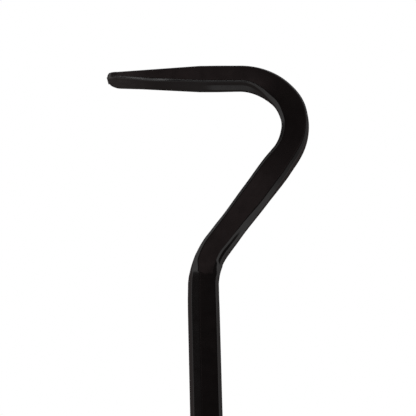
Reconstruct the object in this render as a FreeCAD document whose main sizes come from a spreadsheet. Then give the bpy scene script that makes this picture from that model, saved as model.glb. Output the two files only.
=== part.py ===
"""Hooked panel lever with a turning T-handle.

The row frame has +Z up and the lever lying flat. The shank runs along Y with the hook at +Y and
its tip pointing to -X. The origin is on the floor, below the middle of the tool's length.
Every length is in millimetres and every angle is in degrees.
"""
import FreeCAD, Part
import math
import os

import Sketcher

Vector = FreeCAD.Vector

# Driving dimensions: alias, value, meaning. Expressions and functions below read them by alias.
DRIVING = [
    # bar, from the shoulder at the collar to the tip
    ("bar_side", 14.0, "side of the square bar"),
    ("bar_chamfer", 2.1, "leg of the bar's 45 degree corners"),
    ("shank_length", 408.0, "straight bar, from the collar's shoulder to the lower bend"),
    ("shank_twist", 14.0, "turn of the shank's flats against the hook's plane"),
    ("low_bend_radius", 36.5, "lower bend, centreline radius"),
    ("low_bend_angle", 38.0, "lower bend, turn away from the shank's line"),
    ("low_bend_twist", 2.5, "turn of the flats after the lower bend"),
    ("diagonal_length", 59.7, "straight bar between the two bends"),
    ("diagonal_width", 14.3, "bar width in the hook's plane where the return bend starts"),
    ("return_radius_a", 24.5, "return bend, radius of its tighter first part"),
    ("return_angle_a", 84.0, "return bend, turn of its first part"),
    ("return_width", 12.5, "bar width at the middle of the return bend"),
    ("return_depth", 13.0, "bar depth across the hook's plane in the return bend"),
    ("return_twist", -6.5, "turn of the flats at the middle of the return bend"),
    ("return_radius_b", 30.5, "return bend, radius of its wider second part"),
    ("return_angle_b", 43.0, "return bend, turn of its second part"),
    ("arm_length", 20.7, "even part of the arm after the return bend"),
    ("arm_width", 10.9, "arm width in the hook's plane"),
    ("arm_depth", 13.6, "arm depth where the taper starts"),
    ("arm_twist", 1.0, "turn of the flats along the arm"),
    ("taper_length", 42.6, "tapered part of the arm, up to the rounded end"),
    ("tip_width", 2.6, "thickness of the flattened tip"),
    ("tip_depth", 18.6, "spread of the flattened tip"),
    ("tip_chamfer", 0.9, "leg of the corners at the tip"),
    ("tip_round", 6.0, "length of the rounded end beyond the taper"),
    # turned end of the bar and what sits on it
    ("spindle_dia", 13.0, "turned end of the bar that the handle turns on"),
    ("spindle_length", 45.4, "turned end, from the shoulder to the end face"),
    ("ring_setback", 2.0, "bar's end face beyond the retaining ring"),
    ("ring_groove_dia", 11.6, "bottom of the retaining ring's groove"),
    ("collar_dia", 26.0, "stop collar, outside"),
    ("collar_length", 8.0, "stop collar, along the shank"),
    ("collar_chamfer", 2.0, "stop collar, corner of its front face"),
    ("collar_pin_dia", 3.0, "pin through the stop collar"),
    ("collar_pin_inset", 0.6, "pin's ends inside the stop collar's surface"),
    ("side_gap", 0.1, "end play between the lever and the handle at each side"),
    ("running_gap", 0.05, "radial clearance of a running fit"),
    ("thrust_thick", 1.5, "thrust washer thickness"),
    ("rear_washer_thick", 1.2, "rear washer thickness"),
    ("rear_washer_gap", 0.5, "rear washer's edge inside the rear bore"),
    ("ring_thick", 1.0, "retaining ring thickness"),
    ("ring_rim", 2.0, "retaining ring, height above the turned end"),
    ("ring_opening", 4.0, "retaining ring, gap between its ends"),
    # hub
    ("hub_dia", 32.0, "hub, outside"),
    ("hub_length", 66.0, "hub, along the shank"),
    ("hub_chamfer", 1.5, "corner of the hub's ends"),
    ("bush_dia", 17.0, "bush, outside"),
    ("bush_length", 30.0, "bush, behind its flange"),
    ("flange_dia", 24.0, "bush flange and thrust washer, outside"),
    ("flange_thick", 1.5, "bush flange thickness"),
    ("rear_bore_dia", 21.0, "rear bore of the hub"),
    ("cap_dia", 26.0, "hub cap, against the hub"),
    ("cap_face_dia", 22.0, "hub cap, flat outer face"),
    ("cap_head", 2.0, "hub cap, thickness outside the hub"),
    ("cap_plug", 2.5, "hub cap, length inside the hub"),
    ("slit_width", 2.0, "slit of the hub and of the bush"),
    ("ear_root", 2.0, "clamp ears, start outside the bush"),
    ("ear_reach", 27.0, "clamp ears, stud axis from the shank axis"),
    ("ear_round", 11.0, "clamp ears, radius of the outer end"),
    ("ear_half_height", 11.0, "clamp ears, half of the height over both"),
    ("ear_setback", 15.0, "clamp ears, stud axis behind the hub's front face"),
    # cross tube, grips and plugs
    ("tube_dia", 22.0, "cross tube, outside"),
    ("tube_wall", 2.0, "cross tube, wall"),
    ("tube_half", 122.0, "cross tube, half of the length"),
    ("tube_setback", 50.0, "cross tube, axis behind the hub's front face"),
    ("tube_pin_dia", 4.0, "pin through hub and cross tube"),
    ("tube_pin_wall", 0.8, "rolled pin, wall"),
    ("tube_pin_inset", 1.5, "rolled pin's ends inside the hub's surface"),
    ("grip_start", 25.0, "grip, inner end from the shank axis"),
    ("grip_corner", 1.5, "grip, corner of its inner end"),
    ("grip_collar", 4.5, "grip, raised collar at its inner end"),
    ("grip_collar_slope", 2.0, "grip, slope from the collar to the first band"),
    ("grip_lead", 8.0, "grip, inner end to where the bands are counted from"),
    ("grip_tail", 6.0, "grip, last band to the outer end"),
    ("grip_radius", 16.0, "grip, largest radius, which also sets the height above the floor"),
    ("grip_waist", 13.6, "grip, radius at the bottom of its grooves"),
    ("grip_band", 14.9, "grip, radius of its bands"),
    ("grip_bands", 7.0, "number of bands on each grip"),
    ("groove_place", 0.72, "grip, groove's start as a share of the band's pitch"),
    ("groove_slope", 1.0, "grip, side of a groove along the tube"),
    ("groove_flat", 1.2, "grip, bottom of a groove along the tube"),
    ("grip_end_slope", 3.0, "grip, rounded outer end"),
    ("grip_end_drop", 0.5, "grip, outer end below the grooves' bottom"),
    ("plug_dia", 27.0, "end plug, head"),
    ("plug_head", 4.0, "end plug, head thickness"),
    ("plug_rim", 1.0, "end plug, full diameter along the tube"),
    ("plug_bevel", 1.0, "end plug, slope above the rim, across"),
    ("plug_face_dia", 19.0, "end plug, flat outer face"),
    ("plug_face_drop", 2.0, "end plug, bevel below the flat outer face"),
    ("plug_depth", 14.0, "end plug, length inside the tube"),
    ("plug_taper", 0.6, "end plug, radius less at its inner end"),
    # clamping lever
    ("stud_dia", 8.0, "clamp stud"),
    ("stud_chamfer", 1.0, "clamp stud, lower corner"),
    ("stud_inset", 0.5, "clamp stud's end above the lower ear's face"),
    ("stud_flange_dia", 15.0, "clamp stud, flange under the lever"),
    ("stud_flange", 2.4, "clamp stud, flange thickness"),
    ("clamp_washer_thick", 1.6, "washer under the clamp stud"),
    ("clamp_washer_dia", 17.0, "washer under the clamp stud, outside"),
    ("spline_dia", 12.0, "stud head, over the teeth"),
    ("spline_depth", 0.8, "stud head, depth of the teeth"),
    ("spline_teeth", 16.0, "stud head, number of teeth"),
    ("spline_height", 3.4, "stud head, height of the teeth"),
    ("spline_gap", 0.12, "radial clearance between the stud's teeth and the lever's"),
    ("cavity_gap", 0.4, "clearance between the stud's teeth and the lever above its own"),
    ("boss_height", 2.4, "stud head, plain boss above the teeth"),
    ("web_gap", 0.4, "lever's inner shoulder above the stud's boss"),
    ("lever_lift", 4.0, "travel of the lever that frees it from the teeth"),
    ("lever_hub_dia", 21.0, "clamping lever, hub"),
    ("lever_hub_height", 21.0, "clamping lever, hub height"),
    ("lever_base_chamfer", 1.0, "clamping lever, lower corner of the hub"),
    ("lever_draft", 1.6, "clamping lever, hub's radius less below its top corner"),
    ("lever_top_round", 2.0, "clamping lever, top corner of the hub along its axis"),
    ("lever_top_dia", 14.6, "clamping lever, flat top of the hub"),
    ("lever_round", 3.0, "clamping lever, rounding along the arm"),
    ("lever_reach", 58.0, "clamping lever, end of the arm from the stud axis"),
    ("lever_width", 12.0, "clamping lever, arm width"),
    ("lever_web", 3.0, "clamping lever, inner shoulder that the spring presses"),
    ("screw_dia", 5.0, "lever screw"),
    ("screw_head_dia", 9.4, "lever screw, head"),
    ("screw_head", 3.0, "lever screw, head height"),
    ("screw_gap", 0.4, "clearance round the lever screw's shank"),
    ("head_gap", 0.6, "clearance round the lever screw's head"),
    ("socket_radius", 1.9, "lever screw, corners of its hexagonal socket"),
    ("socket_depth", 2.0, "lever screw, depth of its socket"),
    ("spring_length", 6.6, "lever spring, fitted length"),
    ("spring_wire", 0.8, "lever spring, wire"),
    ("spring_turns", 3.0, "lever spring, turns"),
]

ALIASES = {alias for alias, value, meaning in DRIVING}
SUBPARTS = []

doc = FreeCAD.newDocument("HookedLever")
sheet = doc.addObject("Spreadsheet::Sheet", "Dimensions")
for row, (alias, value, meaning) in enumerate(DRIVING, start=1):
    sheet.set(f"A{row}", meaning)
    sheet.set(f"B{row}", str(value))
    sheet.setAlias(f"B{row}", alias)
doc.recompute()


def size(alias):
    """Value of a driving dimension."""
    return float(sheet.get(alias))


def cell(text):
    """Turn words such as 'tube_dia / 2' into an expression that reads the sheet."""
    words = []
    for word in text.replace("(", " ( ").replace(")", " ) ").split():
        words.append(f"Dimensions.{word}" if word in ALIASES else word)
    return " ".join(words)


# ---------------------------------------------------------------- sketches and features

def new_body(label, position=Vector(0, 0, 0)):
    """Empty body for one sub-part, standing at its place in the row frame."""
    body = doc.addObject("PartDesign::Body", label)
    body.Label = label
    body.Placement = FreeCAD.Placement(position, FreeCAD.Rotation())
    SUBPARTS.append(body)
    return body


def new_sketch(body, name, plane="XY_Plane", offset=None):
    """Sketch on one of the body's own origin planes, moved by an attachment offset."""
    sketch = body.newObject("Sketcher::SketchObject", name)
    support = next(item for item in body.Origin.OriginFeatures if item.Role == plane)
    sketch.AttachmentSupport = [(support, "")]
    sketch.MapMode = "FlatFace"
    if offset is not None:
        sketch.AttachmentOffset = offset
    return sketch


def level(height):
    """Attachment offset along the sketch plane's normal."""
    return FreeCAD.Placement(Vector(0, 0, height), FreeCAD.Rotation())


def fix_point(sketch, edge, end, across, along):
    """Dimension one end of an edge from the sketch's origin; the text 0 puts it on an axis."""
    for kind, axis, text in (("DistanceX", -2, across), ("DistanceY", -1, along)):
        if text == "0":
            sketch.addConstraint(Sketcher.Constraint("PointOnObject", edge, end, axis))
            continue
        index = sketch.addConstraint(Sketcher.Constraint(kind, -1, 1, edge, end, 1.0))
        sketch.setExpression(f"Constraints[{index}]", cell(text))


def polygon(sketch, corners):
    """Closed outline through corners given as pairs of expressions."""
    count = len(corners)
    first = sketch.GeometryCount
    for k in range(count):
        start, stop = (2 * math.pi * step / count for step in (k, k + 1))
        line = Part.LineSegment(Vector(math.cos(start), math.sin(start), 0),
                                Vector(math.cos(stop), math.sin(stop), 0))
        sketch.addGeometry(line)
    for k in range(count):
        following = first + (k + 1) % count
        sketch.addConstraint(Sketcher.Constraint("Coincident", first + k, 2, following, 1))
    for k, (across, along) in enumerate(corners):
        fix_point(sketch, first + k, 1, across, along)
    return sketch


def rectangle(sketch, left, bottom, right, top):
    """Rectangle between two corners given as expressions."""
    return polygon(sketch, [(left, bottom), (right, bottom), (right, top), (left, top)])


def circle(sketch, across, along, diameter):
    """Circle with its centre and diameter given as expressions."""
    edge = sketch.addGeometry(Part.Circle(Vector(1, 1, 0), Vector(0, 0, 1), 1.0))
    fix_point(sketch, edge, 3, across, along)
    index = sketch.addConstraint(Sketcher.Constraint("Diameter", edge, 2.0))
    sketch.setExpression(f"Constraints[{index}]", cell(diameter))
    return sketch


def feature(body, kind, name, sketch):
    """Feature of the given kind on a sketch, made the body's tip."""
    item = body.newObject(f"PartDesign::{kind}", name)
    item.Profile = sketch
    body.Tip = item
    return item


def pad(body, name, sketch, length, both_sides=False, reverse=False):
    item = feature(body, "Pad", name, sketch)
    item.setExpression("Length", cell(length))
    item.SideType = "Symmetric" if both_sides else "One side"
    item.Reversed = reverse
    return item


def pocket(body, name, sketch, length=None, reverse=False):
    """Pocket of a stated depth, or right through both ways where no depth is given."""
    item = feature(body, "Pocket", name, sketch)
    if length is None:
        item.SideType = "Symmetric"
        item.Type = "ThroughAll"
    else:
        item.setExpression("Length", cell(length))
        item.Reversed = reverse
    return item


def turn(body, name, sketch, axis="V_Axis", kind="Revolution"):
    item = feature(body, kind, name, sketch)
    item.ReferenceAxis = (sketch, [axis])
    item.Angle = 360.0
    return item


def round_edges(body, name, kind, radius, chosen):
    """Fillet or chamfer the edges of the tip's shape for which chosen(edge) is true."""
    doc.recompute()
    base = body.Tip
    names = [f"Edge{k}" for k, edge in enumerate(base.Shape.Edges, start=1) if chosen(edge)]
    item = body.newObject(f"PartDesign::{kind}", name)
    item.Base = (base, names)
    setattr(item, "Radius" if kind == "Fillet" else "Size", radius)
    body.Tip = item
    return item


def turned(label, position, profile, plane="XY_Plane", axis="V_Axis"):
    """Round piece from the half section given as corner expressions."""
    body = new_body(label, position)
    sketch = polygon(new_sketch(body, f"{label}_section", plane), profile)
    turn(body, f"{label}_round", sketch, axis)
    return body


def ring(label, position, outer, inner, start, stop):
    """Plain ring about Y between two distances along it."""
    return turned(label, position, [(f"{inner} / 2", start), (f"{outer} / 2", start),
                                    (f"{outer} / 2", stop), (f"{inner} / 2", stop)])


# ---------------------------------------------------------------- the bar's centreline

def direction(heading):
    return Vector(math.cos(math.radians(heading)), math.sin(math.radians(heading)), 0)


def leftward(heading):
    return direction(heading + 90)


def run_straight(point, heading, length):
    return point + direction(heading) * length, heading


def run_arc(point, heading, radius, angle):
    """End of an arc that turns left by a positive angle and right by a negative one."""
    side = math.copysign(radius, angle)
    centre = point + leftward(heading) * side
    return centre - leftward(heading + angle) * side, heading + angle


HEADING = 90.0
FOOT = Vector(0, 0, 0)
LOW_END = run_arc(FOOT, HEADING, size("low_bend_radius"), -size("low_bend_angle"))
DIAGONAL_END = run_straight(*LOW_END, size("diagonal_length"))
RETURN_MIDDLE = run_arc(*DIAGONAL_END, size("return_radius_a"), size("return_angle_a"))
RETURN_END = run_arc(*RETURN_MIDDLE, size("return_radius_b"), size("return_angle_b"))
ARM_END = run_straight(*RETURN_END, size("arm_length"))
TAPER_END = run_straight(*ARM_END, size("taper_length"))

# Heights along Y that place the model, worked out from the lower bend's start.
crown = ARM_END[0].y + size("arm_width") / 2
hub_front = -(size("shank_length") + size("collar_length") + size("thrust_thick")
              + size("flange_thick") + size("side_gap"))
rear = hub_front - size("hub_length") - size("cap_head")
shift = -(crown + rear) / 2
axis_height = size("grip_radius")

BAR_PLACE = Vector(0, shift, axis_height)
SHOULDER_PLACE = Vector(0, shift - size("shank_length"), axis_height)
HUB_PLACE = Vector(0, shift + hub_front, axis_height)
TUBE_PLACE = HUB_PLACE - Vector(0, size("tube_setback"), 0)
STUD_PLACE = HUB_PLACE + Vector(size("ear_reach"), -size("ear_setback"), 0)


# ---------------------------------------------------------------- hook bar

def blend(start, stop, share):
    """Expression for a value part of the way from one expression to another."""
    if start == stop:
        return start
    return f"( {start} ) + ( ( {stop} ) - ( {start} ) ) * {share:.4f}"


def bar_section(body, name, point, heading, twist, width, depth, chamfer):
    """Octagon across the bar: x to the left of the run, y up, turned by the twist."""
    along = direction(heading)
    across = leftward(heading)
    turned_across = FreeCAD.Rotation(along, twist).multVec(across)
    upward = FreeCAD.Rotation(along, twist).multVec(Vector(0, 0, 1))
    offset = FreeCAD.Placement(point, FreeCAD.Rotation(turned_across, upward, along, "ZXY"))
    sketch = new_sketch(body, name, offset=offset)
    half_width = f"( {width} ) / 2"
    half_depth = f"( {depth} ) / 2"
    inner_width = f"{half_width} - ( {chamfer} )"
    inner_depth = f"{half_depth} - ( {chamfer} )"
    corners = [(half_width, inner_depth), (inner_width, half_depth)]
    corners += [(f"- ( {x} )", y) for x, y in reversed(corners)]
    corners += [(f"- ( {x} )", f"- ( {y} )") for x, y in corners]
    return polygon(sketch, corners)


def bar_loft(body, name, stations, ruled):
    """Loft through octagons; a station is point, heading, twist, width, depth and chamfer."""
    sketches = [bar_section(body, f"{name}_{k}", *station) for k, station in enumerate(stations)]
    item = feature(body, "AdditiveLoft", name, sketches[0])
    item.Sections = sketches[1:]
    item.Ruled = ruled
    return item


def bend_stations(start, radius, angle, steps, twists, before, after):
    """Stations evenly round a bend, with twist and section blended from its start to its end."""
    stations = []
    for k in range(steps + 1):
        share = k / steps
        place = run_arc(*start, radius, angle * share) if k else start
        twist = twists[0] + (twists[1] - twists[0]) * share
        section = [blend(a, b, share) for a, b in zip(before, after)]
        stations.append((*place, twist, *section))
    return stations


def make_hook_bar():
    """Forged bar: shank, lower bend, diagonal, return bend, arm and flattened tip."""
    body = new_body("hook_bar", BAR_PLACE)
    stock = ("bar_side", "bar_side", "bar_chamfer")
    diagonal = ("diagonal_width", "bar_side", "bar_chamfer")
    middle = ("return_width", "return_depth", "bar_chamfer")
    arm = ("arm_width", "return_depth", "bar_chamfer")
    arm_end = ("arm_width", "arm_depth", "bar_chamfer")
    tip = ("tip_width", "tip_depth", "tip_chamfer")

    foot = bar_section(body, "shank_section", FOOT, HEADING, size("shank_twist"), *stock)
    pad(body, "shank", foot, "shank_length", reverse=True)

    low_twists = (size("shank_twist"), size("low_bend_twist"))
    low = bend_stations((FOOT, HEADING), size("low_bend_radius"), -size("low_bend_angle"), 6,
                        low_twists, stock, stock)
    bar_loft(body, "low_bend", low, ruled=False)
    bar_loft(body, "diagonal", [(*LOW_END, size("low_bend_twist"), *stock),
                                (*DIAGONAL_END, size("low_bend_twist"), *diagonal)], ruled=True)

    first = bend_stations(DIAGONAL_END, size("return_radius_a"), size("return_angle_a"), 8,
                          (size("low_bend_twist"), size("return_twist")), diagonal, middle)
    second = bend_stations(RETURN_MIDDLE, size("return_radius_b"), size("return_angle_b"), 5,
                           (size("return_twist"), size("arm_twist")), middle, arm)
    bar_loft(body, "return_bend", first + second[1:], ruled=False)

    twist = size("arm_twist")
    bar_loft(body, "arm", [(*RETURN_END, twist, *arm), (*ARM_END, twist, *arm_end)], ruled=True)
    bar_loft(body, "taper", [(*ARM_END, twist, *arm_end), (*TAPER_END, twist, *tip)], ruled=True)
    bar_loft(body, "rounded_end", rounded_end(twist), ruled=False)

    spindle = new_sketch(body, "spindle_section", "XZ_Plane", level(size("shank_length")))
    circle(spindle, "0", "0", "spindle_dia")
    pad(body, "spindle", spindle, "spindle_length")
    groove_start = "0 - shank_length - spindle_length + ring_setback"
    groove = new_sketch(body, "ring_groove_section")
    rectangle(groove, "ring_groove_dia / 2", groove_start, "spindle_dia",
              f"{groove_start} + ring_thick")
    turn(body, "ring_groove", groove, kind="Groove")
    pin_hole = new_sketch(body, "collar_pin_hole_section", "XY_Plane")
    circle(pin_hole, "0", "0 - shank_length - collar_length / 2", "collar_pin_dia")
    pocket(body, "collar_pin_hole", pin_hole)
    return body


def rounded_end(twist):
    """Stations that close the flattened tip with a quarter round in depth and in thickness."""
    stations = []
    reach = size("tip_round")
    for share in (0.0, 0.4, 0.7, 0.88, 0.97):
        point, heading = run_straight(*TAPER_END, reach * share)
        swell = math.sqrt(1 - share ** 2)
        width = f"tip_width * {swell:.4f}"
        depth = f"tip_depth - 2 * tip_round * {1 - swell:.4f}"
        stations.append((point, heading, twist, width, depth, f"tip_chamfer * {swell:.4f}"))
    return stations


# ---------------------------------------------------------------- pieces on the bar's turned end

def make_collar():
    """Stop collar against the shoulder of the bar, with a cross pin."""
    body = turned("stop_collar", SHOULDER_PLACE, [
        ("spindle_dia / 2", "0"), ("collar_dia / 2 - collar_chamfer", "0"),
        ("collar_dia / 2", "0 - collar_chamfer"),
        ("collar_dia / 2", "0 - collar_length"), ("spindle_dia / 2", "0 - collar_length")])
    hole = new_sketch(body, "collar_hole_section")
    circle(hole, "0", "0 - collar_length / 2", "collar_pin_dia")
    pocket(body, "collar_hole", hole)

    pin = new_body("collar_pin", SHOULDER_PLACE)
    section = circle(new_sketch(pin, "pin_section"), "0", "0 - collar_length / 2", "collar_pin_dia")
    pad(pin, "pin", section, "collar_dia - 2 * collar_pin_inset", both_sides=True)


def make_retainers():
    """Thrust washer in front of the hub, and washer and retaining ring behind the bush."""
    bore = "( spindle_dia + 2 * running_gap )"
    ring("thrust_washer", HUB_PLACE, "flange_dia", bore, "flange_thick",
         "flange_thick + thrust_thick")

    ring_front = "0 - spindle_length + ring_setback + ring_thick"
    ring("rear_washer", SHOULDER_PLACE, "( rear_bore_dia - 2 * rear_washer_gap )", "spindle_dia",
         ring_front, f"{ring_front} + rear_washer_thick")

    clip = new_body("retaining_ring", SHOULDER_PLACE)
    section = rectangle(new_sketch(clip, "clip_section"), "ring_groove_dia / 2",
                        "0 - spindle_length + ring_setback", "spindle_dia / 2 + ring_rim", ring_front)
    turn(clip, "clip", section)
    gap = new_sketch(clip, "clip_gap_section", "XZ_Plane")
    rectangle(gap, "0 - ring_opening / 2", "0", "ring_opening / 2", "spindle_dia")
    pocket(clip, "clip_gap", gap)


# ---------------------------------------------------------------- handle

def make_hub():
    """Split clamp hub with two ears, a cross bore for the tube and a rear bore."""
    body = turned("hub", HUB_PLACE, [
        ("bush_dia / 2", "0"), ("hub_dia / 2 - hub_chamfer", "0"),
        ("hub_dia / 2", "0 - hub_chamfer"), ("hub_dia / 2", "0 - hub_length + hub_chamfer"),
        ("hub_dia / 2 - hub_chamfer", "0 - hub_length"), ("rear_bore_dia / 2", "0 - hub_length"),
        ("rear_bore_dia / 2", "0 - bush_length"), ("bush_dia / 2", "0 - bush_length")])

    straight = new_sketch(body, "ear_section")
    rectangle(straight, "bush_dia / 2 + ear_root", "0 - ear_setback - ear_round",
              "ear_reach", "0 - ear_setback + ear_round")
    pad(body, "ear_blocks", straight, "2 * ear_half_height", both_sides=True)
    outer = new_sketch(body, "ear_round_section")
    circle(outer, "ear_reach", "0 - ear_setback", "2 * ear_round")
    pad(body, "ear_rounds", outer, "2 * ear_half_height", both_sides=True)

    slit = new_sketch(body, "slit_section", "XZ_Plane")
    rectangle(slit, "0", "0 - slit_width / 2", "ear_reach + 2 * ear_round", "slit_width / 2")
    pocket(body, "slit", slit, "bush_length")
    stud_hole = new_sketch(body, "stud_hole_section")
    circle(stud_hole, "ear_reach", "0 - ear_setback", "stud_dia + 2 * running_gap")
    pocket(body, "stud_hole", stud_hole)
    cross_bore = new_sketch(body, "cross_bore_section", "YZ_Plane")
    circle(cross_bore, "0 - tube_setback", "0", "tube_dia")
    pocket(body, "cross_bore", cross_bore)
    pin_hole = new_sketch(body, "hub_pin_hole_section")
    circle(pin_hole, "0", "0 - tube_setback", "tube_pin_dia")
    pocket(body, "hub_pin_hole", pin_hole)


def make_bush():
    """Flanged split bush between the hub and the bar's turned end."""
    bore = "( spindle_dia / 2 + running_gap )"
    body = turned("hub_bush", HUB_PLACE, [
        (bore, "0 - bush_length"), ("bush_dia / 2", "0 - bush_length"), ("bush_dia / 2", "0"),
        ("flange_dia / 2", "0"), ("flange_dia / 2", "flange_thick"), (bore, "flange_thick")])
    slit = new_sketch(body, "bush_slit_section", "XZ_Plane")
    rectangle(slit, "0", "0 - slit_width / 2", "flange_dia", "slit_width / 2")
    pocket(body, "bush_slit", slit)


def make_cap():
    """Cap that closes the rear bore behind the cross tube."""
    turned("hub_cap", HUB_PLACE, [
        ("0", "0 - hub_length - cap_head"), ("cap_face_dia / 2", "0 - hub_length - cap_head"),
        ("cap_dia / 2", "0 - hub_length"), ("rear_bore_dia / 2", "0 - hub_length"),
        ("rear_bore_dia / 2", "0 - hub_length + cap_plug"), ("0", "0 - hub_length + cap_plug")])


def make_cross_tube():
    """Cross tube and the pin that holds it in the hub."""
    body = new_body("cross_tube", TUBE_PLACE)
    section = new_sketch(body, "tube_section", "YZ_Plane")
    circle(section, "0", "0", "tube_dia")
    circle(section, "0", "0", "tube_dia - 2 * tube_wall")
    pad(body, "tube", section, "2 * tube_half", both_sides=True)
    hole = circle(new_sketch(body, "tube_hole_section"), "0", "0", "tube_pin_dia")
    pocket(body, "tube_hole", hole)

    pin = new_body("tube_pin", TUBE_PLACE)
    section = new_sketch(pin, "roll_section")
    circle(section, "0", "0", "tube_pin_dia")
    circle(section, "0", "0", "tube_pin_dia - 2 * tube_pin_wall")
    pad(pin, "roll", section, "hub_dia - 2 * tube_pin_inset", both_sides=True)


def grip_profile():
    """Half section of a grip: collar, bands with grooves between them, and a rounded outer end."""
    bands = int(size("grip_bands"))
    pitch = f"( tube_half - grip_tail - grip_start - grip_lead ) / {bands}"
    outline = [("grip_start", "tube_dia / 2"), ("grip_start", "grip_radius - grip_corner"),
               ("grip_start + grip_corner", "grip_radius"),
               ("grip_start + grip_collar", "grip_radius"),
               ("grip_start + grip_collar + grip_collar_slope", "grip_band")]
    for k in range(bands):
        groove = f"grip_start + grip_lead + {pitch} * ( {k} + groove_place )"
        floor = f"{groove} + groove_slope"
        outline += [(groove, "grip_band"), (floor, "grip_waist"),
                    (f"{floor} + groove_flat", "grip_waist"),
                    (f"{floor} + groove_flat + groove_slope", "grip_band")]
    outline += [("tube_half - grip_end_slope", "grip_band"),
                ("tube_half", "grip_waist - grip_end_drop"), ("tube_half", "tube_dia / 2")]
    return outline


def mirrored(outline, side):
    """Outline given for the +X side, turned to the side that has this sign."""
    if side > 0:
        return outline
    return [(f"0 - ( {x} )", y) for x, y in outline]


def make_grips_and_plugs():
    """Rubber grip and plastic end plug on each half of the cross tube."""
    plug = [("tube_half + plug_head", "0"), ("tube_half + plug_head", "plug_face_dia / 2"),
            ("tube_half + plug_head - plug_face_drop", "plug_dia / 2 - plug_bevel"),
            ("tube_half + plug_rim", "plug_dia / 2"), ("tube_half", "plug_dia / 2"),
            ("tube_half", "tube_dia / 2 - tube_wall"),
            ("tube_half - plug_depth", "tube_dia / 2 - tube_wall - plug_taper"),
            ("tube_half - plug_depth", "0")]
    for side, name in ((-1, "left"), (1, "right")):
        turned(f"grip_{name}", TUBE_PLACE, mirrored(grip_profile(), side), axis="H_Axis")
        turned(f"end_plug_{name}", TUBE_PLACE, mirrored(plug, side), axis="H_Axis")


# ---------------------------------------------------------------- clamping lever

STUD_SEAT = "ear_half_height + clamp_washer_thick"
SPLINE_START = f"{STUD_SEAT} + stud_flange"
SPLINE_END = f"{SPLINE_START} + spline_height"
BOSS_END = f"{SPLINE_END} + boss_height"
WEB_START = f"{BOSS_END} + web_gap"
WEB_END = f"{WEB_START} + lever_web"
HEAD_START = f"{WEB_END} + spring_length"


def hexagon(sketch, radius):
    """Regular hexagon given by the radius of its corners, two of them on the sketch's X axis."""
    corners = [(radius, "0")]
    for k in (1, 2):
        corners.append((f"{radius} * {math.cos(math.pi * k / 3):.6f}",
                        f"{radius} * {math.sin(math.pi * k / 3):.6f}"))
    corners += [(f"0 - {x}", "0" if y == "0" else f"0 - {y}") for x, y in corners]
    return polygon(sketch, corners)


def star(sketch, outer_radius, depth):
    """Outline with triangular teeth, given by its outer radius and the depth of its teeth."""
    teeth = int(size("spline_teeth"))
    corners = []
    for k in range(2 * teeth):
        angle = math.pi * k / teeth + math.pi / (4 * teeth)
        radius = outer_radius if k % 2 == 0 else f"( {outer_radius} - {depth} )"
        corners.append((f"{radius} * {math.cos(angle):.6f}", f"{radius} * {math.sin(angle):.6f}"))
    return polygon(sketch, corners)


def height_of(text):
    """Number for a sum of driving dimensions and plain numbers."""
    return sum(size(word) if word in ALIASES else float(word) for word in text.split(" + "))


def make_clamp_stud():
    """Washer, and stud with a flange, a toothed head and a tapped boss."""
    stud = "stud_dia / 2"
    turned("clamp_washer", STUD_PLACE, [
        (f"{stud} + running_gap", "ear_half_height"), ("clamp_washer_dia / 2", "ear_half_height"),
        ("clamp_washer_dia / 2", STUD_SEAT), (f"{stud} + running_gap", STUD_SEAT)],
        plane="XZ_Plane")
    foot = "0 - ear_half_height + stud_inset"
    body = turned("clamp_stud", STUD_PLACE, [
        ("0", foot), (f"{stud} - stud_chamfer", foot), (stud, f"{foot} + stud_chamfer"),
        (stud, STUD_SEAT), ("stud_flange_dia / 2", STUD_SEAT),
        ("stud_flange_dia / 2", SPLINE_START), ("spline_dia / 2 - spline_depth", SPLINE_START),
        ("spline_dia / 2 - spline_depth", BOSS_END), ("screw_dia / 2", BOSS_END),
        ("screw_dia / 2", STUD_SEAT), ("0", STUD_SEAT)], plane="XZ_Plane")
    head = new_sketch(body, "spline_section", "XY_Plane", level(height_of(SPLINE_START)))
    star(head, "spline_dia / 2", "spline_depth")
    pad(body, "spline", head, "spline_height")
    bore = new_sketch(body, "tapped_section", "XY_Plane", level(height_of(BOSS_END)))
    circle(bore, "0", "0", "screw_dia")
    pocket(body, "tapped_bore", bore, f"{height_of(BOSS_END) - height_of(STUD_SEAT):.3f}")

    screw = turned("clamp_screw", STUD_PLACE, [
        ("0", STUD_SEAT), ("screw_dia / 2", STUD_SEAT), ("screw_dia / 2", HEAD_START),
        ("screw_head_dia / 2", HEAD_START), ("screw_head_dia / 2", f"{HEAD_START} + screw_head"),
        ("0", f"{HEAD_START} + screw_head")], plane="XZ_Plane")
    socket = new_sketch(screw, "socket_section", "XY_Plane",
                        level(height_of(HEAD_START) + size("screw_head")))
    hexagon(socket, "socket_radius")
    pocket(screw, "socket", socket, "socket_depth")


def make_clamp_spring():
    """Coil spring between the lever's inner shoulder and the screw head."""
    body = new_body("clamp_spring", STUD_PLACE + Vector(0, 0, height_of(WEB_END)))
    wire = new_sketch(body, "wire_section", "XZ_Plane")
    circle(wire, "screw_dia / 2 + screw_gap + spring_wire / 2", "spring_wire / 2", "spring_wire")
    coil = body.newObject("PartDesign::AdditiveHelix", "coil")
    coil.Profile = wire
    coil.ReferenceAxis = (wire, ["V_Axis"])
    coil.Mode = "height-turns-angle"
    coil.setExpression("Height", cell("spring_length - spring_wire"))
    coil.setExpression("Turns", cell("spring_turns"))
    body.Tip = coil


# Outline of the lever's arm seen from the side: share of the reach, and height above the hub's top.
ARM_UNDERSIDE = [(0.05, -12.0), (0.24, -11.0), (0.72, -2.0), (0.91, 0.5), (1.0, 5.0)]
ARM_TOP_SIDE = [(0.98, 9.0), (0.90, 11.0), (0.69, 7.0), (0.21, -0.5), (0.05, -0.5)]
ROUNDED_FROM = 0.35  # share of the reach where the arm's edges start to be rounded
CLEAR_OF_TOP = 2.0  # height above the hub where the counterbore's sketch lies


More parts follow.
